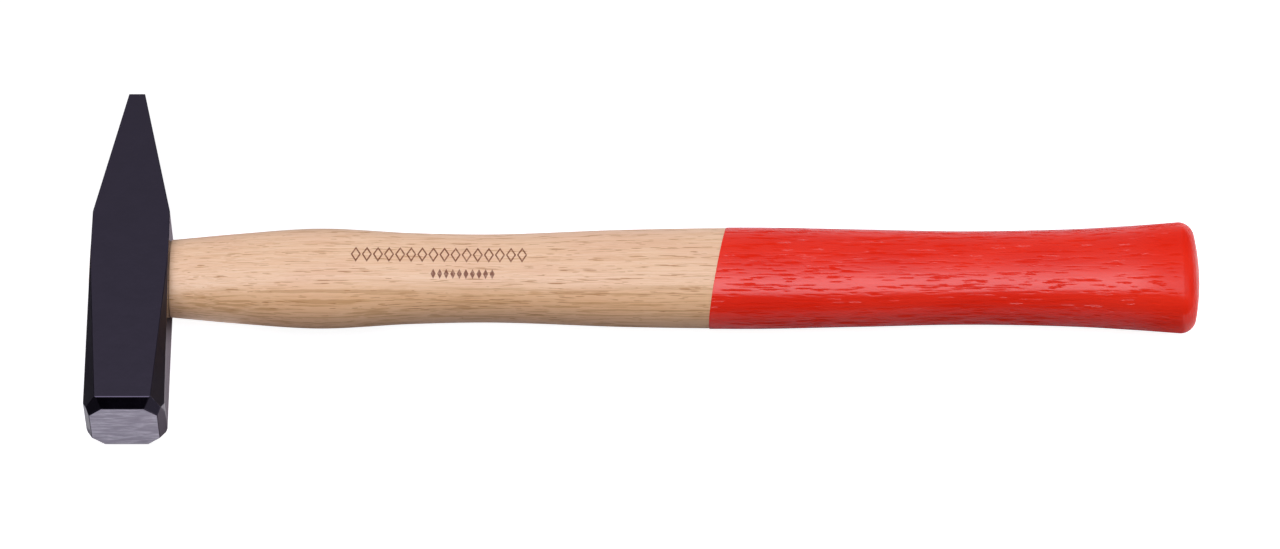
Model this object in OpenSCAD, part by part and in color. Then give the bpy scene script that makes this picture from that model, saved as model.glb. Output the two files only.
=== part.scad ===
// Cross-pein engineer's hammer, 300 g pattern, lying on its side.
// +X runs along the handle from the head to the butt, +Y points to the pein, +Z is up.
// The origin is on the head's lower cheek, straight below the centre of the eye.
// All sizes are in millimetres.

/* [Head] */
// Width of the square body across its cheeks, and the depth of the whole head
face_size = 23; // [20:0.5:26]
// Width of the body where the pein starts, a little less than at the face
waist_width = 22; // [19:0.5:23]
// From the centre of the eye to the striking face
face_reach = 49.2; // [44:0.2:56]
// From the centre of the eye to the two corners where the pein starts
pein_start = 15.6; // [13:0.2:18]
// From the centre of the eye to the edge of the pein
pein_reach = 55.8; // [50:0.2:62]
// Thickness of the pein's edge
pein_edge = 4.6; // [3:0.1:6]

/* [Head chamfers] */
// Half width of the ground octagon on the striking face
octagon_half = 9.65; // [8:0.05:9.9]
// Length cut off each corner of that octagon
octagon_corner = 3.6; // [3:0.1:4.5]
// How far up the cheeks the face bevel reaches
cheek_bevel = 3; // [2:0.1:4]
// How far up the two handle sides the face bevel reaches
side_bevel = 4.1; // [3:0.1:5]
// Width of the long corner chamfers at the face, measured across the cheeks
chamfer_on_cheek = 3.85; // [3:0.05:4.2]
// Width of the two upper corner chamfers at the face, across the handle sides
upper_chamfer = 5.8; // [5:0.05:6.2]
// Width of the two lower corner chamfers at the face, across the handle sides
lower_chamfer = 3.8; // [3.5:0.05:6.2]
// Distance of the chamfers' vanishing point beyond the eye, toward the pein
chamfer_runout = 2; // [0:0.5:6]

/* [Eye and wedges] */
// Distance between the two round ends' centres in the oval eye
eye_span = 7.8; // [6:0.2:8]
// Width of the eye's narrow waist
eye_waist = 13; // [11:0.2:13.4]
// Width of the eye where the handle comes in
eye_mouth = 14.4; // [13.6:0.2:14.8]
// Width of the eye on the far side, where the wedges spread the wood
eye_top = 15.2; // [14:0.2:15.8]
// How far the end of the handle stands out of the eye
tenon_proud = 0.4; // [0:0.1:1.5]
// Thickness of the wooden wedge at its outer end
wedge_thick = 3.4; // [2:0.1:4]
// Thickness of the wooden wedge at its point
wedge_point = 0.8; // [0.4:0.1:1.5]
// Length of the wooden wedge
wedge_long = 16; // [12:0.5:18]
// Outer diameter of the ring wedge at its driven end
ring_outer = 10.4; // [9:0.1:11]
// Inner diameter of the ring wedge
ring_inner = 7.6; // [6:0.1:7.8]
// Length of the ring wedge
ring_long = 12; // [8:0.5:14]

/* [Handle] */
// From the centre of the eye to the end of the wooden butt, without its lacquer
butt_reach = 304.4; // [290:0.2:320]
// Half height of the handle at the head, in the plane of the swing
neck_height = 11.6; // [11.2:0.1:12.5]
// Half thickness of the handle at the head
neck_thick = 8.3; // [8:0.1:9]
// Half height of the belly behind the head
belly_height = 15.1; // [14:0.1:16]
// Half height of the slim waist that gives the shaft its spring
waist_height = 13.2; // [12:0.1:14]
// Half height of the long palm swell
palm_height = 15.2; // [14:0.1:16]
// Half height of the grip in front of the butt
grip_height = 13.85; // [13:0.1:15]
// Half height of the flared butt
butt_height = 16.7; // [15:0.1:18]
// Half thickness of the flared butt
butt_thick = 11.25; // [10.5:0.05:11.3]
// Radius of the rounded edge around the end of the butt
butt_round = 4.4; // [3:0.1:5]
// Height of the slight crown on the end of the butt
butt_crown = 1.4; // [0.5:0.1:2]

/* [Grip lacquer] */
// From the centre of the eye to the line where the dipped lacquer starts
dip_start = 167.4; // [150:0.2:190]
// Angle between the dip line and a square cut across the handle
dip_angle = 10; // [0:1:14]
// Thickness of the lacquer
film = 0.15; // [0.1:0.05:0.25]

/* [Hidden] */
$fn = 64;
mid = face_size / 2;
big = 400;
// The body narrows evenly from the face to the start of the pein.
body_slope = (face_size - waist_width) / 2 / (face_reach + pein_start);
function body_half(y) = waist_width / 2 + body_slope * (pein_start - y);
side_x = body_half(0);
end_x = -side_x - tenon_proud;
chamfer_long = face_reach + chamfer_runout;
// Handle stations: distance from the eye, half height and half thickness.
// Between them the two sizes follow smooth curves.
stations = [
    [-10, neck_height - 1.9, neck_thick - 0.8],
    [11, neck_height, neck_thick],
    [30, (neck_height + 2 * belly_height) / 3 - 0.45, neck_thick + 1.2],
    [54, belly_height, neck_thick + 2],
    [80, (belly_height + 4 * waist_height) / 5, neck_thick + 1.8],
    [104, waist_height, neck_thick + 1.4],
    [140, (waist_height + 3 * palm_height) / 4, neck_thick + 1.8],
    [176, palm_height, neck_thick + 2.1],
    [208, (palm_height + grip_height) / 2, neck_thick + 1.9],
    [238, grip_height, neck_thick + 1.7],
    [268, grip_height + 0.6, neck_thick + 2.1],
    [290, butt_height - 0.85, butt_thick - 0.15],
    [299, butt_height, butt_thick],
    [320, butt_height + 0.8, butt_thick]
];
last_station = len(stations) - 1;
// The section is an oval a little fuller than an ellipse.
section_power = 2 / 2.25;
sides = 40;
// Rings along the straight part, then around the butt's edge, then over its crown.
neck_rings = 26;
grip_rings = 24;
edge_rings = 5;
crown_rings = [0.8, 0.55, 0.28];
round_turn = 70;
edge_x = butt_reach - butt_crown - butt_round * sin(round_turn);
shear_reach = 60;

// Which pair of stations a place lies between
function span_at(x, i = 0) =
    i >= last_station - 1 || x < stations[i + 1][0] ? i : span_at(x, i + 1);
// Slope of one size at a station, taken from its two neighbours
function slope_at(i, k) =
    let (a = stations[max(i - 1, 0)], b = stations[min(i + 1, last_station)])
    (b[k] - a[k]) / (b[0] - a[0]);
// Smooth cubic through the stations
function size_at(x, k) =
    let (i = span_at(x), a = stations[i], b = stations[i + 1], h = b[0] - a[0],
         t = (x - a[0]) / h, u = 1 - t)
    a[k] * u * u * (1 + 2 * t) + b[k] * t * t * (3 - 2 * t)
    + h * u * t * (u * slope_at(i, k) - t * slope_at(i + 1, k));
function full(v) = sign(v) * pow(abs(v), section_power);
// Rings lean with the dip line near it, and with the head's side at the head.
function lean_at(x) =
    x < side_x + 1 ? -body_slope
    : tan(dip_angle) * max(0, 1 - pow(abs(x - dip_start) / shear_reach, 2));
// One ring: inset narrows it for the butt's edge, grow adds the lacquer
function ring(x, inset = 0, scale = 1, grow = 0, push = 0) = [
    for (s = [0 : sides - 1])
        let (a = 360 * s / sides,
             c = full(cos(a)),
             px = x + lean_at(x) * size_at(x, 1) * c,
             h = (size_at(px, 1) - inset) * scale + grow,
             w = (size_at(px, 2) - inset) * scale + grow)
        [px + push, h * c, mid + w * full(sin(a))]
];
function neck_set() = [
    for (i = [0 : neck_rings - 1])
        ring(side_x + (dip_start - side_x) * i / neck_rings)
];
// From the dip line to the end of the butt; grow is 0 on the wood, film outside
function grip_set(grow) = concat(
    [for (i = [0 : grip_rings])
        ring(dip_start + (edge_x - dip_start) * i / grip_rings, grow = grow)],
    [for (i = [1 : edge_rings])
        let (a = round_turn * i / edge_rings)
        ring(edge_x, butt_round * (1 - cos(a)), 1, grow,
             (butt_round + grow) * sin(a))],
    [for (s = crown_rings)
        ring(edge_x, butt_round * (1 - cos(round_turn)), s, grow * s,
             butt_reach + grow - edge_x - butt_crown * s * s)]
);
// Triangles between neighbouring rings; first is the first ring's place in the list
function walls(count, first = 0, flip = false) = [
    for (i = [0 : count - 2], s = [0 : sides - 1])
        let (a = first + i * sides + s, b = first + i * sides + (s + 1) % sides,
             c = a + sides, d = b + sides)
        each flip ? [[a, b, c], [b, d, c]] : [[a, c, b], [b, c, d]]
];
// A fan that closes a ring onto one point
function fan(first, point, flip = false) = [
    for (s = [0 : sides - 1])
        let (a = first + s, b = first + (s + 1) % sides)
        flip ? [b, a, point] : [a, b, point]
];
function flatten(sets) = [for (one = sets) each one];

// Removes everything beyond the plane through three points; the cut lies on the
// side that the points' right-hand normal points to.
module cut_beyond(a, b, c) {
    n = cross(b - a, c - a);
    translate(a)
        rotate([0, acos(n[2] / norm(n)), atan2(n[1], n[0])])
            translate([-big / 2, -big / 2, 0])
                cube(big);
}

// The four facets around one corner of the striking face, at +X and +Z.
// chamfer_on_side is the long chamfer's width at the face, across the handle side.
module corner_facets(chamfer_on_side) {
    y0 = -face_reach;
    half = octagon_half;
    inner = octagon_half - octagon_corner;
    body = face_size / 2;
    cheek_edge = [body - chamfer_on_cheek, y0 + cheek_bevel, body];
    translate([0, 0, mid]) {
        // Long chamfer that runs out near the eye
        cut_beyond([body - chamfer_on_cheek, y0, body],
                   [body, y0, body - chamfer_on_side],
                   [body_half(chamfer_runout), chamfer_runout, body]);
        // Bevel toward the cheek
        cut_beyond([0, y0, half], [inner, y0, half], [0, y0 + cheek_bevel, body]);
        // Bevel toward the handle side
        cut_beyond([half, y0, inner], [half, y0, 0], [body, y0 + side_bevel, inner]);
        // Facet between the two bevels
        cut_beyond([inner, y0, half], [half, y0, inner], cheek_edge);
    }
}

// The oval eye is narrowest in the middle. The tenon is the same shape.
module eye_shape() {
    top_x = -side_x - 3;
    mouth_x = side_x + 1;
    // Wooden tenon and steel eye share these cones and slopes exactly.
    for (side = [-1, 1])
        translate([0, side * eye_span / 2, mid])
            rotate([0, 90, 0]) {
                translate([0, 0, top_x])
                    cylinder(h = -top_x, d1 = eye_top, d2 = eye_waist);
                cylinder(h = mouth_x, d1 = eye_waist, d2 = eye_mouth);
            }
    translate([0, eye_span / 2, mid])
        rotate([90, 0, 0])
            linear_extrude(eye_span)
                polygon([[top_x, -eye_top / 2], [0, -eye_waist / 2],
                         [mouth_x, -eye_mouth / 2], [mouth_x, eye_mouth / 2],
                         [0, eye_waist / 2], [top_x, eye_top / 2]]);
}

// Everything on the handle's outer side of the tenon's end
module tenon_limit() {
    translate([end_x, -big / 2, -big / 2])
        cube(big);
}

module wedge_slot() {
    translate([0, big / 2, mid])
        rotate([90, 0, 0])
            linear_extrude(big)
                polygon([[end_x - 5, -wedge_thick / 2], [end_x, -wedge_thick / 2],
                         [end_x + wedge_long, -wedge_point / 2],
                         [end_x + wedge_long, wedge_point / 2],
                         [end_x, wedge_thick / 2], [end_x - 5, wedge_thick / 2]]);
}

module ring_shape() {
    inner = ring_inner / 2;
    translate([end_x, 0, mid])
        rotate([0, 90, 0])
            rotate_extrude()
                polygon([[inner, 0], [ring_outer / 2, 0],
                         [inner + 0.3, ring_long], [inner, ring_long]]);
}

// Forged head: a square body with chamfered corners and a wedge-shaped cross pein
module head() {
    color([0.2, 0.19, 0.24])
    difference() {
        linear_extrude(face_size)
            polygon([[-face_size / 2, -face_reach], [face_size / 2, -face_reach],
                     [waist_width / 2, pein_start], [pein_edge / 2, pein_reach],
                     [-pein_edge / 2, pein_reach], [-waist_width / 2, pein_start]]);
        for (side = [0, 1])
            mirror([side, 0, 0]) {
                corner_facets(upper_chamfer);
                translate([0, 0, face_size])
                    mirror([0, 0, 1])
                        corner_facets(lower_chamfer);
            }
        eye_shape();
    }
}

// Hickory handle with its tenon, split for the wedge and grooved by the ring
module handle() {
    rings = concat(neck_set(), grip_set(0));
    count = len(rings);
    ends = [[side_x, 0, mid], [butt_reach, 0, mid]];
    color([0.89, 0.73, 0.6])
    difference() {
        union() {
            polyhedron(
                points = concat(flatten(rings), ends),
                faces = concat(walls(count),
                               fan(0, count * sides),
                               fan((count - 1) * sides, count * sides + 1, true)));
            intersection() {
                eye_shape();
                tenon_limit();
            }
        }
        wedge_slot();
        ring_shape();
    }
}

// Hardwood wedge across the whole eye
module wooden_wedge() {
    color([0.75, 0.56, 0.4])
    difference() {
        intersection() {
            eye_shape();
            tenon_limit();
            wedge_slot();
        }
        ring_shape();
    }
}

// Tubular steel wedge driven into the middle of the tenon
module ring_wedge() {
    color([0.62, 0.62, 0.65])
    ring_shape();
}

// Skin of dipped lacquer over the grip and the butt
module grip_lacquer() {
    inside = grip_set(0);
    outside = grip_set(film);
    count = len(inside);
    first = count * sides;
    tips = [[butt_reach, 0, mid], [butt_reach + film, 0, mid]];
    tip = 2 * count * sides;
    color([0.85, 0.16, 0.11])
    polyhedron(
        points = concat(flatten(inside), flatten(outside), tips),
        faces = concat(
            walls(count, 0, true),
            walls(count, first),
            fan((count - 1) * sides, tip),
            fan(first + (count - 1) * sides, tip + 1, true),
            [for (s = [0 : sides - 1])
                let (b = (s + 1) % sides)
                each [[s, first + s, b], [b, first + s, first + b]]]));
}

head();
handle();
wooden_wedge();
ring_wedge();
grip_lacquer();
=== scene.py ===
import math

import bmesh
import bpy
import numpy as np
from mathutils import Matrix, Vector, noise


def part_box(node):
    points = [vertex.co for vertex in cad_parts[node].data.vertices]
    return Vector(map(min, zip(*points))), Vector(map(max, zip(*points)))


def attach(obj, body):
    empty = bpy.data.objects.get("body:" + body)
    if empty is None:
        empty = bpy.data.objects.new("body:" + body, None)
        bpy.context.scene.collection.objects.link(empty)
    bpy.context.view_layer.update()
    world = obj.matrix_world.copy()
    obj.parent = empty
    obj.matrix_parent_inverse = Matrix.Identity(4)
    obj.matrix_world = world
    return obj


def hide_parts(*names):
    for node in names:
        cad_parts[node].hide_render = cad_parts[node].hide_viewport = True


# Looks of a cross-pein engineer's hammer that lies on its side. Shapes are worked out in
# millimetres and turned into metres when a mesh is made.

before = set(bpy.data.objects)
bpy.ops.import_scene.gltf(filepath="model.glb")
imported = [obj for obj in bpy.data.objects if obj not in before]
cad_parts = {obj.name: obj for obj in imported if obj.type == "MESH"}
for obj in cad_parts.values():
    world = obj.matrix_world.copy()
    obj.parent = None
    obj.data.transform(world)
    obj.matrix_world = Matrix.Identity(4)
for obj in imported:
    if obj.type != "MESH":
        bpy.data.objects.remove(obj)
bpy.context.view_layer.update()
scene = bpy.context.scene

MM = 0.001
HEAD_LOW, HEAD_HIGH = [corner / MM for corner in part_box("head")]
HANDLE_LOW, HANDLE_HIGH = [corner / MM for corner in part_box("handle")]
FILM_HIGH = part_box("grip_lacquer")[1] / MM
MID = (HEAD_LOW.z + HEAD_HIGH.z) / 2

# The eye and what fills it, as in the frame
EYE_SPAN = 7.8
EYE_TOP, EYE_WAIST, EYE_MOUTH = 15.2, 13.0, 14.4
SIDE_X = 11.12
END_X = HANDLE_LOW.x
# Slant of the rings at both mouths of the eye, which is that of the head's tenon side
MOUTH_LEAN = -0.00756
WEDGE_THICK, WEDGE_POINT, WEDGE_LONG = 3.4, 0.8, 16.0
RING_OUTER, RING_INNER, RING_LONG = 10.4, 7.6, 12.0

# The butt and the dipped film, as in the frame
BUTT_ROUND, BUTT_CROWN, ROUND_TURN = 4.4, 1.4, math.radians(70)
BUTT_X = HANDLE_HIGH.x
EDGE_X = BUTT_X - BUTT_CROWN - BUTT_ROUND * math.sin(ROUND_TURN)
FILM = FILM_HIGH.x - HANDLE_HIGH.x
DIP_X = 167.4
DIP_LEAN = math.tan(math.radians(10))
# The handle's section is fuller than an ellipse, whose power would be 1
SECTION_POWER = 2 / 2.25
MEAN_RADIUS = 12.4

HEAD_EDGE_ROUND = 0.2

# Mesh fineness
SEGMENTS = 560
SHAFT_RINGS = 150
FILM_RINGS = 130

# How deep open pores and the slow waviness go into the wood and into the film
WOOD_PORE, WOOD_WAVE = 0.055, 0.05
FILM_PORE, FILM_WAVE = 0.07, 0.03
# How far the wood under the film keeps clear of it
UNDER_FILM = 0.06

# Grain: rings of the tree are circles about a far axis along X
PITH = Vector((86.0, -32.0))
RING_WIDTH = 2.9
# Where in a ring most open vessels lie, and how far they spread, as shares of its width
EARLY_PLACE, EARLY_SPREAD = 0.25, 0.22


# ---------------------------------------------------------------- mesh helpers

def mesh_object(name, points, faces, materials, smooth=True):
    """A mesh object from points in millimetres."""
    mesh = bpy.data.meshes.new(name)
    mesh.from_pydata((np.asarray(points) * MM).tolist(), [], faces)
    mesh.validate()
    mesh.polygons.foreach_set("use_smooth", [smooth] * len(mesh.polygons))
    piece = bpy.data.objects.new(name, mesh)
    scene.collection.objects.link(piece)
    for material in materials:
        mesh.materials.append(material)
    return piece


def point_attribute(piece, name, values):
    layer = piece.data.attributes.new(name, "FLOAT", "POINT")
    layer.data.foreach_set("value", np.asarray(values, np.float32))


def tube_faces(rings, segments, first=0, inward=False):
    """Quads between neighbouring rings of the same number of points."""
    faces = []
    for i in range(rings - 1):
        for s in range(segments):
            a = first + i * segments + s
            b = first + i * segments + (s + 1) % segments
            quad = (a, b, b + segments, a + segments)
            faces.append(quad[::-1] if inward else quad)
    return faces


def fan_faces(first, segments, tip, inward=False):
    """Triangles from one ring to a single point."""
    faces = []
    for s in range(segments):
        face = (first + s, first + (s + 1) % segments, tip)
        faces.append(face[::-1] if inward else face)
    return faces


def apply_modifier(piece, kind, **settings):
    modifier = piece.modifiers.new(kind.lower(), kind)
    for key, value in settings.items():
        setattr(modifier, key, value)
    with bpy.context.temp_override(object=piece, active_object=piece):
        bpy.ops.object.modifier_apply(modifier=modifier.name)


def only_material(piece, material):
    """Gives every face one material, also the faces that a cut has made."""
    piece.data.materials.clear()
    piece.data.materials.append(material)
    piece.data.polygons.foreach_set("material_index", [0] * len(piece.data.polygons))


def finish_piece(piece, node):
    piece.data.set_sharp_from_angle(angle=math.radians(40))
    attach(piece, "root")
    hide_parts(node)


# ---------------------------------------------------------------- handle surface

def smooth_curve(xs, ys):
    """A cubic curve through points, with each slope taken from the two neighbours."""
    xs, ys = np.asarray(xs), np.asarray(ys)
    slopes = np.gradient(ys, xs)

    def curve(x):
        x = np.clip(x, xs[0], xs[-1])
        i = np.clip(np.searchsorted(xs, x) - 1, 0, len(xs) - 2)
        h = xs[i + 1] - xs[i]
        t = (x - xs[i]) / h
        u = 1 - t
        return (ys[i] * u * u * (1 + 2 * t) + ys[i + 1] * t * t * (3 - 2 * t)
                + h * u * t * (u * slopes[i] - t * slopes[i + 1]))
    return curve


def outline_of(node, across, along):
    """A handle node's half size along one axis, read where its surface crosses the mid plane."""
    on_plane, rings_apart = 0.002, 1.5
    found = {}
    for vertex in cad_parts[node].data.vertices:
        co = vertex.co / MM
        offset = Vector((co.x, co.y, co.z - MID))
        on_shaft = SIDE_X - 0.5 < co.x < EDGE_X + 0.1
        if on_shaft and abs(offset[across]) < on_plane and offset[along] > 1:
            found[round(co.x, 2)] = offset[along]
    # A point closer to the last one than this isn't another ring's, and is left out
    xs = [min(found)]
    for x in sorted(found):
        if x > xs[-1] + rings_apart:
            xs.append(x)
    return smooth_curve(xs, [found[x] for x in xs])


half_height = outline_of("handle", 2, 1)
half_thick = outline_of("handle", 1, 2)


def full(values):
    """Turns a circle's coordinates into the fuller oval's."""
    return np.sign(values) * np.abs(values) ** SECTION_POWER


def even_steps(outline, count):
    """Parameters at which a closed outline's points lie evenly along it."""
    fine = np.linspace(0, 2 * math.pi, count * 24 + 1)
    points = outline(fine)
    run = np.concatenate([[0], np.cumsum(np.linalg.norm(np.diff(points, axis=0), axis=1))])
    return np.interp(np.linspace(0, run[-1], count + 1)[:-1], run, fine)


def oval(angles, height, thick):
    return np.stack([height * full(np.cos(angles)), thick * full(np.sin(angles))], -1)


def eye_oval(angles, width):
    """The eye's section: two half circles joined by straight sides."""
    radius = width / 2
    heading = np.stack([np.cos(angles), np.sin(angles)], -1)
    along, across = np.abs(heading[:, 0]), np.abs(heading[:, 1])
    # Distance from the eye's centre to a straight side and to a half circle in each direction
    c = EYE_SPAN / 2
    flat = radius / np.maximum(across, 1e-9)
    b = c * along
    cap = b + np.sqrt(np.maximum(b * b - c * c + radius * radius, 0))
    reach = np.where(flat * along <= c, flat, cap)
    return heading * reach[:, None]


# Even steps around a typical section of the shaft and of the eye
OVAL_STEPS = even_steps(lambda a: oval(a, 14.4, 10.0), SEGMENTS)
EYE_STEPS = even_steps(lambda a: eye_oval(a, 14.0), SEGMENTS)
COS, SIN = full(np.cos(OVAL_STEPS)), full(np.sin(OVAL_STEPS))


def shaft_ring(x, lean=0.0, inset=0.0, scale=1.0, grow=0.0, push=0.0):
    """One ring of the handle. lean slants it, inset and scale narrow it, grow adds the film,
    and push moves it along X without changing its size."""
    px = x + lean * half_height(x) * COS
    height = (half_height(px) - inset) * scale + grow
    thick = (half_thick(px) - inset) * scale + grow
    return np.stack([px + push, height * COS, MID + thick * SIN], -1)


def lean_at(x):
    """Rings lean with the film's edge near it, and stand straight 60 mm away from it."""
    return DIP_LEAN * max(0.0, 1 - ((x - DIP_X) / 60) ** 2)


def eye_ring(x, width, lean=0.0):
    """One ring of the eye's section. lean slants it: its +Y end moves toward -X."""
    points = eye_oval(EYE_STEPS, width)
    return np.stack([x - lean * points[:, 0], points[:, 0], MID + points[:, 1]], -1)


def butt_rings(grow, edge_steps, crown_scales):
    """Rings around the butt's rounded edge and over its crown."""
    rings = []
    for i in range(1, edge_steps + 1):
        a = ROUND_TURN * i / edge_steps
        rings.append(shaft_ring(EDGE_X, inset=BUTT_ROUND * (1 - math.cos(a)), grow=grow,
                                push=(BUTT_ROUND + grow) * math.sin(a)))
    inset = BUTT_ROUND * (1 - math.cos(ROUND_TURN))
    for s in crown_scales:
        rings.append(shaft_ring(EDGE_X, inset=inset, scale=s, grow=grow * s,
                                push=BUTT_X + grow - EDGE_X - BUTT_CROWN * s * s))
    return rings


# ---------------------------------------------------------------- wood grain

def grain_rings(points):
    """Which ring of the tree each point lies in, as a smoothly growing number."""
    values = np.empty(len(points))
    for i, (x, y, z) in enumerate(points):
        wander = noise.noise(Vector((x * 0.011, y * 0.05, z * 0.05))) * 1.6
        wander += noise.noise(Vector((x * 0.035 + 9, y * 0.16, z * 0.16))) * 0.45
        radius = math.hypot(y - PITH.x, z - MID - PITH.y)
        values[i] = (radius + wander + 0.012 * x) / RING_WIDTH
    return values


def carve_pores(grid, rings, seed, count, longest, thickness):
    """Marks vessels that the surface cuts open, as a depth from 0 to 1 at each grid point.
    Vessels run along X, so they are short where the surface slopes."""
    random = np.random.default_rng(seed)
    rows, columns = grid.shape[:2]
    depths = np.zeros((rows, columns))
    xs = grid[:, :, 0].mean(1)
    step_x = abs(xs[-1] - xs[0]) / (rows - 1)
    step_s = 2 * math.pi * MEAN_RADIUS / columns
    ring_grid = rings.reshape(rows, columns)
    for _ in range(count):
        row, column = random.uniform(0, rows - 1), random.uniform(0, columns)
        size = random.uniform(0.3, 1.0)
        stretch = random.uniform(0.3, 1.0)
        drift = random.normal(0, 0.008)
        keep = random.uniform()
        i, j = int(row), int(column) % columns
        phase = ring_grid[i, j] % 1.0
        early = math.exp(-((phase - EARLY_PLACE) / EARLY_SPREAD) ** 2)
        if keep > 0.38 + 0.62 * early:
            continue
        slope = abs(half_height(xs[i] + 2) - half_height(xs[i] - 2)) / 4 + 0.012
        length = min(longest * stretch, 0.40 / slope) * (0.45 + 0.55 * early)
        width = thickness * (0.7 + 0.5 * size)
        reach_rows = int(length / 2 / step_x) + 1
        reach_columns = int(3 * width / step_s) + 1
        r = np.arange(max(i - reach_rows, 0), min(i + reach_rows + 1, rows))
        c = np.arange(j - reach_columns, j + reach_columns + 1)
        u = (r - row) * step_x / (length / 2)
        v = ((c - column)[None, :] * step_s - (r - row)[:, None] * step_x * drift) / width
        shape = np.clip(1 - u ** 4, 0, 1)[:, None] * np.exp(-v * v) * size
        patch = np.ix_(r, c % columns)
        depths[patch] = np.maximum(depths[patch], shape)
    return depths


def waviness(points, seed):
    """A slow hand-sanded unevenness between 0 and 1."""
    return np.array([
        0.5 + 0.5 * noise.noise(Vector((x * 0.045 + seed, y * 0.12, z * 0.12)))
        for x, y, z in points])


def sink(grid, amounts):
    """Moves grid points toward the handle's axis."""
    centre = np.array([0, 0, MID])
    spokes = (grid - centre) * np.array([0, 1, 1])
    length = np.linalg.norm(spokes, axis=-1, keepdims=True)
    return grid - spokes / np.maximum(length, 1e-6) * amounts[..., None]


# ---------------------------------------------------------------- node graphs

class Graph:
    """Short calls for building a node tree."""

    def __init__(self, tree):
        self.tree = tree

    def add(self, kind, **settings):
        node = self.tree.nodes.new(kind)
        for key, value in settings.items():
            setattr(node, key, value)
        return node

    def put(self, socket, value):
        if isinstance(value, bpy.types.NodeSocket):
            self.tree.links.new(value, socket)
        else:
            socket.default_value = value

    def math(self, operation, *values, clamp=False):
        node = self.add("ShaderNodeMath", operation=operation, use_clamp=clamp)
        for socket, value in zip(node.inputs, values):
            self.put(socket, value)
        return node.outputs[0]

    def vector(self, operation, *values):
        node = self.add("ShaderNodeVectorMath", operation=operation)
        for socket, value in zip(node.inputs, values):
            self.put(socket, value)
        return node.outputs[0]

    def scaled(self, vector, factors):
        return self.vector("MULTIPLY", vector, factors)

    def part(self, vector, axis):
        node = self.add("ShaderNodeSeparateXYZ")
        self.put(node.inputs[0], vector)
        return node.outputs[axis]

    def noise(self, vector, detail=2.0, roughness=0.5, scale=1.0, output="Fac"):
        node = self.add("ShaderNodeTexNoise")
        self.put(node.inputs["Vector"], vector)
        self.put(node.inputs["Scale"], scale)
        self.put(node.inputs["Detail"], detail)
        self.put(node.inputs["Roughness"], roughness)
        return node.outputs[output]

    def cells(self, vector):
        """Distance to the nearest of many scattered points, one in each unit cube."""
        node = self.add("ShaderNodeTexVoronoi")
        self.put(node.inputs["Vector"], vector)
        self.put(node.inputs["Scale"], 1.0)
        return node.outputs["Distance"]

    def remap(self, value, low, high, to_low=0.0, to_high=1.0, smooth=True):
        """A step from to_low at low to to_high at high, held at its ends."""
        node = self.add("ShaderNodeMapRange",
                        interpolation_type="SMOOTHSTEP" if smooth else "LINEAR")
        for socket, item in zip(node.inputs, (value, low, high, to_low, to_high)):
            self.put(socket, item)
        return node.outputs[0]

    def mix(self, factor, a, b):
        node = self.add("ShaderNodeMix", data_type="RGBA")
        # A mix node has its factor first and its two colours at 6 and 7, and its colour is output 2
        for index, value in ((0, factor), (6, a), (7, b)):
            self.put(node.inputs[index], value)
        return node.outputs[2]

    def attribute(self, name):
        return self.add("ShaderNodeAttribute", attribute_name=name).outputs["Fac"]

    def bump(self, height, distance, strength=1.0, normal=None):
        """A surface direction from a height. distance is what a height of 1 is in millimetres."""
        node = self.add("ShaderNodeBump")
        self.put(node.inputs["Height"], height)
        self.put(node.inputs["Distance"], distance * MM)
        self.put(node.inputs["Strength"], strength)
        if normal is not None:
            self.put(node.inputs["Normal"], normal)
        return node.outputs["Normal"]


class MaterialGraph(Graph):
    """A new material's node tree, with the position in millimetres."""

    def __init__(self, name):
        self.material = bpy.data.materials.new(name)
        self.material.use_nodes = True
        super().__init__(self.material.node_tree)
        self.shader = self.tree.nodes["Principled BSDF"]
        coordinates = self.add("ShaderNodeTexCoord").outputs["Object"]
        self.position = self.scaled(coordinates, (1 / MM,) * 3)

    def set(self, name, value):
        self.put(self.shader.inputs[name], value)


def srgb(red, green, blue):
    """A shader colour from an 8-bit screen colour."""
    def linear(v):
        v = v / 255
        return v / 12.92 if v <= 0.04045 else ((v + 0.055) / 1.055) ** 2.4
    return (linear(red), linear(green), linear(blue), 1.0)


# ---------------------------------------------------------------- materials

def wandering(g, amount):
    """The position with a slight sideways wander, so that the grain isn't ruler-straight."""
    drift = g.noise(g.scaled(g.position, (0.03, 0.12, 0.12)), scale=5.0, output="Color")
    return g.vector("ADD", g.position, g.scaled(drift, (0.0, amount, amount)))


def open_vessels(g, place, length, spacing, radius, core=0.7):
    """Fine vessels along X, 1 where the surface cuts one open. length and spacing are in
    millimetres, radius is a share of them, and core is the share of radius that is fully open."""
    stretched = g.scaled(place, (1 / length, 1 / spacing, 1 / spacing))
    return g.remap(g.cells(stretched), radius, radius * core)


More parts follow.
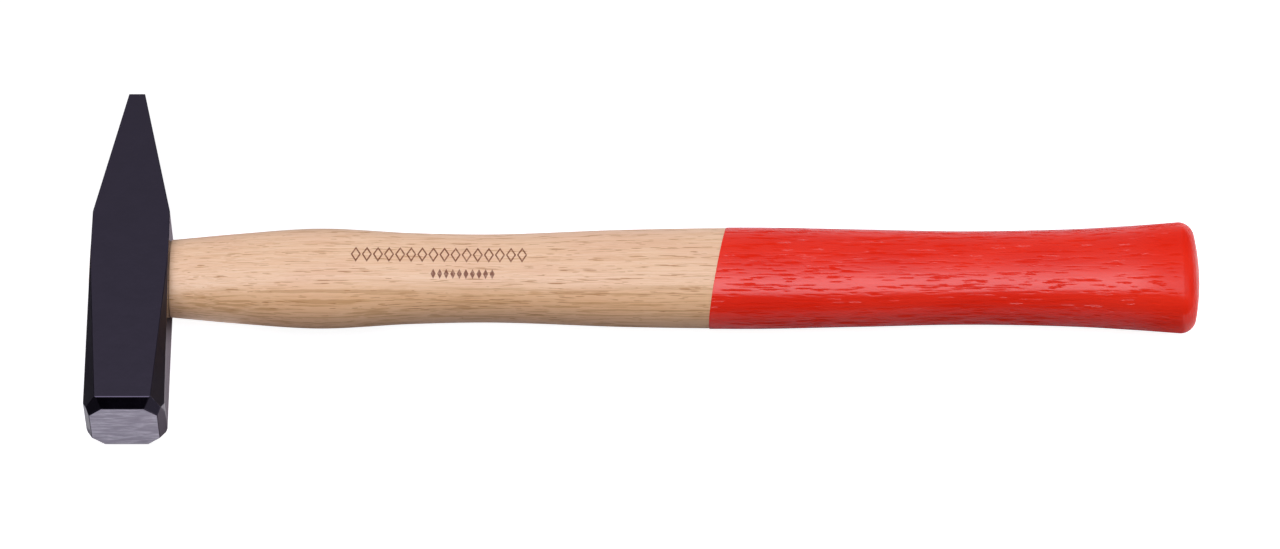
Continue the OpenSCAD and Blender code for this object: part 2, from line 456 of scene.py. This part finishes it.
def hickory():
    g = MaterialGraph("hickory")
    place = wandering(g, 0.7)
    rings = g.attribute("ring")
    ring = g.math("FRACT", rings)
    # Earlywood starts sharply and fades into latewood
    early = g.math("MULTIPLY", g.remap(ring, 0.02, 0.16), g.remap(ring, 0.80, 0.25))
    line = g.noise(g.scaled(place, (0.012, 2.8, 2.8)), detail=3, roughness=0.7)
    fibre = g.noise(g.scaled(place, (0.12, 3.0, 3.0)), detail=3, roughness=0.65)
    streak = g.noise(g.scaled(place, (0.009, 1.4, 1.4)), detail=2, roughness=0.5)
    patch = g.noise(g.scaled(g.position, (0.035, 0.09, 0.09)), detail=2)
    colour = g.mix(g.math("MULTIPLY", early, 0.35), srgb(229, 193, 158), srgb(219, 178, 139))
    colour = g.mix(g.remap(line, 0.46, 0.62, 0.0, 0.50), colour, srgb(202, 156, 116))
    colour = g.mix(g.remap(fibre, 0.45, 0.68, 0.0, 0.45), colour, srgb(232, 204, 174))
    colour = g.mix(g.remap(patch, 0.42, 0.66, 0.0, 0.30), colour, srgb(222, 178, 148))
    # The wood nearest the bark is golden, with darker bands. That is the handle's front underside,
    # where this darker golden tone is partly the wood's own colour and partly painted shade, where
    # the overhead light falls off.
    along = g.math("MULTIPLY", g.part(g.position, 0), 0.0045)
    golden_with_painted_shade = g.remap(g.math("SUBTRACT", rings, along), 34.5, 35.8)
    colour = g.mix(g.math("MULTIPLY", golden_with_painted_shade, 0.50), colour, srgb(210, 163, 110))
    bands = g.math("MULTIPLY", g.remap(streak, 0.50, 0.60), g.remap(golden_with_painted_shade, 0.2, 1.0, 0.05, 0.65))
    colour = g.mix(bands, colour, srgb(182, 138, 88))
    # Vessels: many short ones, some long ones, most of them in the earlywood
    crowd = g.remap(early, 0.0, 1.0, 0.30, 1.0)
    short = open_vessels(g, place, 10.0, 0.80, 0.19)
    long = open_vessels(g, g.vector("ADD", place, (40.0, 3.0, 5.0)), 42.0, 1.0, 0.16)
    fine = g.math("MULTIPLY", g.math("MAXIMUM", short, long), crowd)
    colour = g.mix(g.math("MULTIPLY", fine, 0.75), colour, srgb(170, 120, 66))
    # The tenon's end is end grain, where the rings show
    end = g.remap(g.part(g.position, 0), END_X + 0.20, END_X + 0.12)
    grain = g.mix(early, srgb(206, 164, 122), srgb(168, 122, 82))
    colour = g.mix(g.math("MULTIPLY", end, 0.8), colour, grain)
    pore = g.attribute("pore")
    colour = g.mix(g.remap(pore, 0.30, 0.75, 0.0, 0.80), colour, srgb(158, 108, 58))
    burn = burnt_border(g)
    colour = g.mix(g.math("MULTIPLY", burn, 0.94), colour, srgb(112, 54, 24))
    g.set("Base Color", colour)
    roughness = g.remap(fibre, 0.3, 0.8, 0.34, 0.46)
    g.set("Roughness", g.math("ADD", roughness, g.math("MULTIPLY", pore, 0.25)))
    g.set("IOR", 1.45)
    height = g.math("SUBTRACT", fibre, g.math("MULTIPLY", fine, 1.2))
    normal = g.bump(height, 0.02, 0.6)
    g.set("Normal", g.bump(g.math("SUBTRACT", 1.0, burn), 0.05, 0.6, normal))
    return g.material


# The burnt ornament: where each row starts and ends, its line across the handle, half its
# height, and how far apart its lozenges are
OUTLINED_ROW = (62.7, 113.1, 1.8, 2.6, 3.15)
SOLID_ROW = (85.4, 104.0, -4.4, 1.6, 1.86)


def burnt_border(g):
    """A row of outlined lozenges over a shorter row of solid ones, burnt into the top."""
    x, y = g.part(g.position, 0), g.part(g.position, 1)
    above = g.math("GREATER_THAN", g.part(g.position, 2), MID)

    def reach_in(row, fill):
        """0 at the middle of each lozenge of a row, 1 at its edge, and more outside it."""
        start, end, line, half, pitch = row
        turn = g.math("FRACT", g.math("DIVIDE", g.math("SUBTRACT", x, start), pitch))
        u = g.math("DIVIDE", g.math("ABSOLUTE", g.math("SUBTRACT", turn, 0.5)), fill / 2)
        v = g.math("DIVIDE", g.math("ABSOLUTE", g.math("SUBTRACT", y, line)), half)
        outside = g.math("ADD", g.math("LESS_THAN", x, start), g.math("GREATER_THAN", x, end))
        return g.math("ADD", g.math("ADD", u, v), g.math("MULTIPLY", outside, 9.0))

    outlined = reach_in(OUTLINED_ROW, 0.92)
    rim = g.remap(g.math("ABSOLUTE", g.math("SUBTRACT", outlined, 0.84)), 0.21, 0.12)
    solid = g.remap(reach_in(SOLID_ROW, 0.84), 1.0, 0.84)
    mottle = g.noise(g.scaled(g.position, (1.2, 1.2, 1.2)), detail=3)
    shapes = g.math("ADD", rim, solid, clamp=True)
    shapes = g.math("MULTIPLY", shapes, above)
    return g.math("MULTIPLY", shapes, g.remap(mottle, 0.3, 0.55, 0.7, 1.0))


def red_lacquer():
    g = MaterialGraph("red_lacquer")
    place = wandering(g, 0.7)
    swell = g.noise(g.scaled(place, (0.06, 0.85, 0.85)), detail=2, roughness=0.5)
    fibre = g.noise(g.scaled(place, (0.12, 2.4, 2.4)), detail=2)
    cloud = g.noise(g.scaled(g.position, (0.03, 0.1, 0.1)), detail=2)
    short = open_vessels(g, place, 12.0, 1.25, 0.23, 0.1)
    long = open_vessels(g, g.vector("ADD", place, (40.0, 3.0, 5.0)), 34.0, 1.5, 0.17, 0.1)
    shaft = g.remap(g.part(g.position, 0), EDGE_X + 1.5, EDGE_X - 2.5)
    fine = g.math("MULTIPLY", g.math("MAXIMUM", short, long), shaft)
    sunken = g.remap(g.attribute("pore"), 0.18, 0.5)
    colour = g.mix(g.remap(cloud, 0.3, 0.7), srgb(218, 36, 17), srgb(225, 44, 24))
    g.set("Base Color", g.mix(g.math("MULTIPLY", sunken, 0.12), colour, srgb(168, 24, 14)))
    g.set("Roughness", g.remap(fibre, 0.3, 0.8, 0.45, 0.6))
    g.set("Specular IOR Level", 0.0)
    # The gloss lies over the colour. It is nearly gone in open pores, and weaker on the last of
    # the grip and on the butt.
    gloss = g.remap(g.part(g.position, 0), EDGE_X - 16, EDGE_X - 4, 1.0, 0.42)
    g.set("Coat Weight", g.math("MULTIPLY", gloss, g.remap(sunken, 0.0, 1.0, 1.0, 0.08)))
    g.set("Coat Roughness", 0.14)
    g.set("Coat IOR", 1.5)
    normal = g.bump(g.math("SUBTRACT", 1.0, fine), 0.20, 1.0, g.bump(fibre, 0.005, 0.5))
    g.set("Coat Normal", g.bump(swell, 0.055, 1.0, normal))
    return g.material


def head_lacquer(name, smoothest, roughest, index):
    """Near-black violet lacquer over the forging's faint unevenness. index is its IOR."""
    g = MaterialGraph(name)
    peel = g.noise(g.scaled(g.position, (1.1,) * 3), detail=3)
    scale = g.noise(g.scaled(g.position, (0.16,) * 3), detail=4, roughness=0.6)
    g.set("Base Color", g.mix(g.remap(scale, 0.3, 0.7), srgb(4, 3, 6), srgb(8, 6, 11)))
    g.set("Roughness", g.remap(scale, 0.3, 0.7, smoothest, roughest))
    g.set("IOR", index)
    g.set("Specular Tint", (0.78, 0.68, 1.0, 1.0))
    g.set("Normal", g.bump(peel, 0.014, 0.3, g.bump(scale, 0.09, 0.35)))
    return g.material


def ground_steel():
    g = MaterialGraph("ground_steel")
    scratch = g.noise(g.scaled(g.position, (0.3, 1.0, 4.0)), detail=5, roughness=0.7)
    wave = g.noise(g.scaled(g.position, (0.15, 1.0, 0.8)), detail=2)
    colour = g.mix(g.remap(scratch, 0.3, 0.7), srgb(188, 186, 193), srgb(250, 247, 253))
    g.set("Base Color", g.mix(g.remap(wave, 0.38, 0.60, 0.0, 0.6), colour, srgb(176, 170, 182)))
    g.set("Metallic", 1.0)
    g.set("Roughness", g.remap(scratch, 0.3, 0.7, 0.34, 0.5))
    g.set("Normal", g.bump(scratch, 0.02, 0.5))
    return g.material


def turned_steel():
    g = MaterialGraph("turned_steel")
    grain = g.noise(g.scaled(g.position, (3.0, 1.2, 1.2)), detail=4)
    g.set("Base Color", g.mix(g.remap(grain, 0.3, 0.7), srgb(128, 128, 132), srgb(176, 176, 180)))
    g.set("Metallic", 1.0)
    g.set("Roughness", g.remap(grain, 0.3, 0.7, 0.32, 0.5))
    g.set("Normal", g.bump(grain, 0.02, 0.4))
    return g.material


def wedge_wood():
    g = MaterialGraph("wedge_wood")
    fibre = g.noise(g.scaled(g.position, (0.3, 3.0, 6.0)), detail=4, roughness=0.65)
    colour = g.mix(g.remap(fibre, 0.3, 0.7), srgb(150, 104, 66), srgb(188, 142, 98))
    g.set("Base Color", colour)
    g.set("Roughness", g.remap(fibre, 0.3, 0.7, 0.55, 0.75))
    g.set("IOR", 1.45)
    g.set("Normal", g.bump(fibre, 0.05, 0.6))
    return g.material


# ---------------------------------------------------------------- pieces

def eye_cutter():
    """Rings of a tube that cuts the eye, with its mouths rounded outwards."""
    flare = 0.45
    rings = [eye_ring(-SIDE_X - 2, EYE_TOP + 2 * flare + 2)]
    for side, width in ((-1, EYE_TOP), (1, EYE_MOUTH)):
        steps = []
        for i in range(7):
            a = math.pi / 2 * i / 6
            steps.append(eye_ring(side * (SIDE_X - flare * (1 - math.sin(a)) + 0.02),
                                  width + 2 * flare * (1 - math.cos(a)), MOUTH_LEAN))
        rings += steps[::-1] if side < 0 else [eye_ring(0, EYE_WAIST)] + steps
    rings.append(eye_ring(SIDE_X + 2, EYE_MOUTH + 2 * flare + 2))
    return rings


def closed_tube(name, rings, materials, tips=None):
    """A tube of rings, closed at both ends by a fan."""
    count = len(rings)
    segments = len(rings[0])
    tips = tips or [rings[0].mean(0), rings[-1].mean(0)]
    points = np.concatenate([*rings, tips])
    faces = tube_faces(count, segments)
    faces += fan_faces(0, segments, count * segments, inward=True)
    faces += fan_faces((count - 1) * segments, segments, count * segments + 1)
    return mesh_object(name, points, faces, materials)


def make_head(polished, forged, steel):
    """The head's flat facets come from the frame; edges are rounded and the eye is cut."""
    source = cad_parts["head"].data
    work = bmesh.new()
    for vertex in source.vertices:
        work.verts.new(vertex.co)
    bmesh.ops.remove_doubles(work, verts=work.verts, dist=1e-7)
    bmesh.ops.convex_hull(work, input=work.verts)
    loose = [v for v in work.verts if not v.link_faces]
    bmesh.ops.delete(work, geom=loose, context="VERTS")
    bmesh.ops.dissolve_limit(work, angle_limit=math.radians(0.5), verts=work.verts,
                             edges=work.edges)
    bmesh.ops.bevel(work, geom=work.edges[:], offset=HEAD_EDGE_ROUND * MM, segments=3,
                    profile=0.5, affect="EDGES", clamp_overlap=True)
    mesh = bpy.data.meshes.new("head")
    work.to_mesh(mesh)
    work.free()
    piece = bpy.data.objects.new("forged_head", mesh)
    scene.collection.objects.link(piece)
    for material in (polished, forged, steel):
        mesh.materials.append(material)
    cutter = closed_tube("eye_cutter", eye_cutter(), [polished])
    apply_modifier(piece, "BOOLEAN", operation="DIFFERENCE", object=cutter, solver="EXACT")
    bpy.data.objects.remove(cutter)
    face_y = HEAD_LOW.y * MM
    for polygon in mesh.polygons:
        polygon.use_smooth = True
        x, y, z = polygon.normal
        on_face = polygon.center.y < face_y + 1e-5 and y < -0.99
        # The long chamfers keep the duller skin of the forging
        on_chamfer = min(abs(x), abs(z)) > 0.4 and abs(y) < 0.3
        polygon.material_index = 2 if on_face else int(on_chamfer)
    apply_modifier(piece, "WEIGHTED_NORMAL", keep_sharp=True, weight=50)
    finish_piece(piece, "head")


def make_handle(wood):
    """Tenon, shaft and the part under the film, then the kerf and the ring's groove are cut."""
    # The tenon has a small chamfer at its end and clears the eye's mouths by a hair
    sections = [(END_X, EYE_TOP - 0.2), (END_X + 0.12, EYE_TOP - 0.02),
                (-SIDE_X, EYE_TOP - 0.02), (0, EYE_WAIST), (SIDE_X - 0.3, EYE_MOUTH - 0.05)]
    tenon = [eye_ring(x, width) for x, width in sections]
    shoulder = [shaft_ring(SIDE_X + 0.06, inset=0.35), shaft_ring(SIDE_X + 0.2, inset=0.1)]
    spots = np.linspace(SIDE_X + 0.45, DIP_X + 2.5, SHAFT_RINGS)
    shaft = [shaft_ring(x, lean_at(x)) for x in spots]
    hidden = [shaft_ring(x, lean_at(x)) for x in np.linspace(DIP_X + 12, EDGE_X, 12)]
    butt = butt_rings(0.0, 4, (0.7, 0.35))
    grid = np.array(shaft)
    points = grid.reshape(-1, 3)
    rings = grain_rings(points)
    pores = carve_pores(grid, rings, seed=7, count=5000, longest=9.0, thickness=0.10)
    wave = waviness(points, 3.0).reshape(pores.shape)
    grid = sink(grid, WOOD_PORE * pores + WOOD_WAVE * wave)
    before, after = tenon + shoulder, hidden + butt
    after = [sink(ring, np.full(len(ring), UNDER_FILM)) for ring in after]
    piece = closed_tube("hickory_handle", [*before, *grid, *after], [wood],
                        [np.array([END_X, 0, MID]), np.array([BUTT_X - 0.02, 0, MID])])
    first, last = len(before) * SEGMENTS, len(before) * SEGMENTS + len(points)
    depths = np.zeros(len(piece.data.vertices))
    depths[first:last] = pores.ravel()
    point_attribute(piece, "pore", depths)
    for cutter in (wedge_block("kerf", 0.0), ring_tube("groove", 0.0, [])):
        apply_modifier(piece, "BOOLEAN", operation="DIFFERENCE", object=cutter, solver="MANIFOLD")
        bpy.data.objects.remove(cutter)
    only_material(piece, wood)
    everything = np.array([v.co for v in piece.data.vertices]) / MM
    point_attribute(piece, "ring", grain_rings(everything))
    finish_piece(piece, "handle")


def wedge_block(name, grow):
    """The tapered block that the wedge is cut from. It is wider than the tenon and starts 1 mm
    outside it, where the taper makes it a little thicker than the wedge."""
    x0, x1 = END_X - 1, END_X + WEDGE_LONG
    thick = WEDGE_THICK / 2 + (WEDGE_THICK - WEDGE_POINT) / 2 / WEDGE_LONG
    half = 13.0
    points = [(x, y, MID + z) for y in (-half, half)
              for x, z in ((x0, -thick - grow), (x1, -WEDGE_POINT / 2 - grow),
                           (x1, WEDGE_POINT / 2 + grow), (x0, thick + grow))]
    faces = [(0, 1, 2, 3), (7, 6, 5, 4), (4, 5, 1, 0), (5, 6, 2, 1), (6, 7, 3, 2), (7, 4, 0, 3)]
    return mesh_object(name, points, faces, [], smooth=False)


def make_wedge(wood):
    """The wooden wedge: its block trimmed to the tenon's outline, with a hole for the ring."""
    piece = wedge_block("oak_wedge", -0.03)
    # The wedge's ends stay just inside the eye, and its driven end is chamfered
    sections = [(END_X, EYE_TOP - 0.5), (END_X + 0.25, EYE_TOP - 0.06),
                (0, EYE_WAIST - 0.06), (8, 13.9)]
    limit = closed_tube("limit", [eye_ring(x, width) for x, width in sections], [])
    groove = ring_tube("groove", 0.0, [])
    for operation, cutter in (("INTERSECT", limit), ("DIFFERENCE", groove)):
        apply_modifier(piece, "BOOLEAN", operation=operation, object=cutter, solver="MANIFOLD")
        bpy.data.objects.remove(cutter)
    only_material(piece, wood)
    finish_piece(piece, "wooden_wedge")


def ring_tube(name, inset, materials):
    """The ring wedge's tube: blunt and chamfered at its driven end, thin at its other end."""
    inner, outer = RING_INNER / 2 + inset, RING_OUTER / 2 - inset
    bevel, edge = 0.18, 0.3
    profile = [(END_X + bevel, inner), (END_X, inner + bevel),
               (END_X, outer - bevel), (END_X + bevel, outer),
               (END_X + RING_LONG * 0.5, (outer + inner + edge) / 2),
               (END_X + RING_LONG, inner + edge), (END_X + RING_LONG, inner)]
    segments = 96
    turns = [2 * math.pi * s / segments for s in range(segments)]
    rings = [np.array([(x, radius * math.cos(t), MID + radius * math.sin(t)) for t in turns])
             for x, radius in profile]
    points = np.concatenate(rings)
    count = len(profile)
    faces = []
    for i in range(count):
        for s in range(segments):
            n = (s + 1) % segments
            j = (i + 1) % count
            faces.append((i * segments + n, j * segments + n, j * segments + s, i * segments + s))
    return mesh_object(name, points, faces, materials)


def make_ring(steel):
    piece = ring_tube("steel_ring_wedge", 0.02, [steel])
    finish_piece(piece, "ring_wedge")


def make_film(lacquer):
    """The dipped skin: an outer surface with the grain showing, a rolled lip and an inside."""
    lip_long = 0.12
    lip = [shaft_ring(DIP_X - lip_long + lip_long * (1 - math.cos(a)), DIP_LEAN,
                      grow=FILM * math.sin(a))
           for a in np.linspace(0.0, math.pi / 2, 4)[:-1]]
    spots = np.linspace(DIP_X + 0.1, EDGE_X, FILM_RINGS)
    skin = [shaft_ring(x, lean_at(x), grow=FILM) for x in spots]
    skin += butt_rings(FILM, 14, (0.96, 0.9, 0.82, 0.73, 0.63, 0.52, 0.4, 0.27, 0.14, 0.05))
    grid = np.array(skin)
    points = grid.reshape(-1, 3)
    rings = grain_rings(points)
    pores = carve_pores(grid, rings, seed=11, count=4200, longest=9.0, thickness=0.17)
    wave = waviness(points, 17.0).reshape(pores.shape)
    # No pores show on the butt's end
    fade = np.clip((EDGE_X + 1.5 - grid[:, :, 0].mean(1)) / 4.0, 0, 1)
    grid = sink(grid, (FILM_PORE * pores + FILM_WAVE * wave) * fade[:, None])
    inside = [shaft_ring(x, lean_at(x)) for x in np.linspace(DIP_X + 10, EDGE_X, 10)]
    inside += butt_rings(0.0, 4, (0.7, 0.35))
    outer, inner = [*lip, *grid], [lip[0], *inside]
    count, depth = len(outer), len(inner)
    tips = [(BUTT_X + FILM, 0, MID), (BUTT_X, 0, MID)]
    # The lip's first ring is shared by the outer and the inner surface
    points = np.concatenate([*outer, *inner[1:], tips])
    tip = count * SEGMENTS + (depth - 1) * SEGMENTS
    faces = tube_faces(count, SEGMENTS)
    faces += fan_faces((count - 1) * SEGMENTS, SEGMENTS, tip)
    bridge = count * SEGMENTS
    for s in range(SEGMENTS):
        n = (s + 1) % SEGMENTS
        faces.append((n, s, bridge + s, bridge + n))
    faces += tube_faces(depth - 1, SEGMENTS, bridge, inward=True)
    faces += fan_faces(bridge + (depth - 2) * SEGMENTS, SEGMENTS, tip + 1, inward=True)
    piece = mesh_object("dipped_grip", points, faces, [lacquer])
    depths = np.zeros(len(points))
    first = len(lip) * SEGMENTS
    depths[first:first + pores.size] = (pores * fade[:, None]).ravel()
    point_attribute(piece, "pore", depths)
    finish_piece(piece, "grip_lacquer")


# ---------------------------------------------------------------- studio

def make_floor():
    """Paper that is plain white to the camera. Its shades are what the polished head and the gloss
    reflect."""
    size = 4.0
    mesh = bpy.data.meshes.new("floor")
    mesh.from_pydata([(-size, -size, 0), (size, -size, 0), (size, size, 0), (-size, size, 0)],
                     [], [(0, 1, 2, 3)])
    floor = bpy.data.objects.new("floor", mesh)
    scene.collection.objects.link(floor)
    floor.location.z = -0.0002
    g = MaterialGraph("floor_paper")
    # Dark around the head, where its chamfers look, and paler in front of it and to its right
    x, y = g.part(g.position, 0), g.part(g.position, 1)
    front = g.math("MULTIPLY", g.remap(y, 5.0, -35.0), g.remap(x, -50.0, -15.0))
    open_side = g.math("MAXIMUM", front, g.remap(x, 50.0, 90.0))
    # The tenon's end looks at this patch when seen from its own side
    patch_x = g.math("MULTIPLY", g.remap(x, -60.0, -40.0), g.remap(x, -8.0, -12.0))
    patch_y = g.math("MULTIPLY", g.remap(y, -15.0, -5.0), g.remap(y, 35.0, 20.0))
    patch = g.math("MULTIPLY", g.math("MULTIPLY", patch_x, patch_y), 0.6)
    open_side = g.math("MAXIMUM", open_side, patch)
    # Paler along the head's right side, which shows this strip
    flank = g.math("MULTIPLY", g.remap(x, 9.0, 11.5), g.remap(x, 45.0, 25.0))
    # Darkest far to the left
    far_left = g.remap(x, -90.0, -160.0)
    shade = g.mix(far_left, (0.10, 0.098, 0.108, 1), (0.015, 0.015, 0.017, 1))
    paper = g.mix(open_side, shade, (0.40, 0.392, 0.42, 1))
    paper = g.mix(flank, paper, (0.40, 0.35, 0.38, 1))
    # Brighter behind the handle and past its butt, for the outline of the red film
    behind = g.math("MULTIPLY", g.remap(y, 22.0, 40.0), g.remap(x, 50.0, 90.0))
    beyond = g.remap(x, 300.0, 306.0)
    open_back = g.math("MAXIMUM", g.math("MULTIPLY", behind, 0.5), beyond)
    g.set("Base Color", g.mix(open_back, paper, (0.95, 0.92, 0.92, 1)))
    g.set("Roughness", 0.9)
    # It glows for the camera, so that it looks white whatever its shade, and past the butt it
    # glows about half as much for reflections
    g.set("Emission Color", (1.0, 1.0, 1.0, 1.0))
    path = g.add("ShaderNodeLightPath")
    mirrored = g.math("MULTIPLY", path.outputs["Is Glossy Ray"], g.math("MULTIPLY", beyond, 0.45))
    seen = g.math("MULTIPLY", path.outputs["Is Camera Ray"], g.remap(far_left, 0, 1, 0.93, 1.0))
    g.set("Emission Strength", g.math("MAXIMUM", seen, g.math("MULTIPLY", mirrored, 0.93)))
    mesh.materials.append(g.material)


def add_card(name, x, y, size, energy):
    """A small lit card on the floor that faces up. The camera doesn't see it."""
    light = bpy.data.lights.new(name, "AREA")
    light.shape = "RECTANGLE"
    light.size, light.size_y = size
    light.energy = energy
    card = bpy.data.objects.new(name, light)
    scene.collection.objects.link(card)
    card.location = (x, y, 0.0006)
    card.rotation_euler = (math.pi, 0, 0)
    card.visible_camera = False


# Brightness of the surroundings by angle from straight overhead, in degrees; the front is
# positive. A big overhead softbox fades toward the back and ends sharply toward the camera.
SKY = [(-90, 0.80), (-70, 0.40), (-46, 0.26), (-32, 0.52), (-20, 1.25), (-8, 2.4), (4, 3.6),
       (14, 3.3), (24, 2.9), (29, 2.6), (34, 0.30), (39, 0.08), (75, 0.10), (90, 0.25)]
# The sky's levels are divided by this in the colour ramp, which keeps them under 1
SKY_SCALE = 4.0
# Brightness far to the left and far to the right
SIDE_SKY = (0.04, 0.34)
# The camera and its stand, as the polished head sees them
DARK_SPOT = (-0.17, -0.54, 0.824)
SKY_TINT = (1.0, 0.98, 1.06)


def make_world():
    """Studio surroundings as a function of direction; the camera itself sees plain white."""
    world = bpy.data.worlds.new("studio")
    scene.world = world
    world.use_nodes = True
    g = Graph(world.node_tree)
    background = g.tree.nodes["Background"]
    direction = g.add("ShaderNodeTexCoord").outputs["Generated"]
    forward = g.math("MULTIPLY", g.part(direction, 1), -1.0)
    tilt = g.math("ARCTAN2", forward, g.part(direction, 2))
    place = g.remap(tilt, -math.pi, math.pi, smooth=False)
    ramp = g.add("ShaderNodeValToRGB")
    g.put(ramp.inputs[0], place)
    stops = ramp.color_ramp.elements
    while len(stops) < len(SKY):
        stops.new(0.5)
    for stop, (degrees, level) in zip(stops, SKY):
        stop.position = 0.5 + degrees / 360
        stop.color = tuple(level / SKY_SCALE * part for part in SKY_TINT) + (1.0,)
    middle = g.remap(g.math("ABSOLUTE", g.part(direction, 0)), 0.78, 0.55)
    left, right = [tuple(level * part for part in SKY_TINT) + (1.0,) for level in SIDE_SKY]
    side = g.mix(g.remap(g.part(direction, 0), -0.1, 0.1), left, right)
    sky = g.mix(middle, side, g.scaled(ramp.outputs[0], (SKY_SCALE,) * 3))
    toward = g.add("ShaderNodeVectorMath", operation="DOT_PRODUCT")
    g.put(toward.inputs[0], direction)
    g.put(toward.inputs[1], DARK_SPOT)
    rim, core = math.cos(math.radians(13)), math.cos(math.radians(10))
    spot = g.remap(toward.outputs["Value"], rim, core)
    sky = g.mix(spot, sky, (0.0, 0.0, 0.0, 1.0))
    path = g.add("ShaderNodeLightPath")
    # Glossy surfaces see the softbox end soon to the right
    across = g.part(direction, 0)
    past = g.math("MULTIPLY", g.remap(across, 0.14, 0.32), g.remap(across, 0.75, 0.60))
    dim = g.math("MULTIPLY", g.math("MULTIPLY", past, path.outputs["Is Glossy Ray"]), 0.75)
    sky = g.mix(dim, sky, (0.02, 0.02, 0.022, 1.0))
    sky = g.mix(path.outputs["Is Camera Ray"], sky, (1.0, 1.0, 1.0, 1.0))
    g.put(background.inputs["Color"], sky)


# The view leans by a hair
ROLL = math.radians(-0.057)


def make_camera():
    elevation = math.radians(57.77)
    distance = 1.8089
    target = Vector((0.14503, 0.00126, MID * MM))
    back = Vector((0, -math.cos(elevation), math.sin(elevation)))
    data = bpy.data.cameras.new("camera")
    data.sensor_width = 36.0
    data.lens = 178.2
    data.clip_start = 0.05
    camera = bpy.data.objects.new("camera", data)
    scene.collection.objects.link(camera)
    camera.location = target + back * distance
    tilt = Matrix.Rotation(math.pi / 2 - elevation, 3, "X")
    camera.rotation_euler = (tilt @ Matrix.Rotation(ROLL, 3, "Z")).to_euler()
    scene.camera = camera


make_camera()
make_world()
make_floor()
add_card("left_card", -0.022, -0.048, (0.018, 0.022), 0.00024)
add_card("right_card", 0.022, -0.026, (0.016, 0.030), 0.0010)
scene.view_settings.view_transform = "Standard"

wood = hickory()
polished = head_lacquer("polished_lacquer", 0.06, 0.09, 1.73)
forged = head_lacquer("forged_lacquer", 0.40, 0.50, 1.5)
make_head(polished, forged, ground_steel())
make_handle(wood)
make_wedge(wedge_wood())
make_ring(turned_steel())
make_film(red_lacquer())
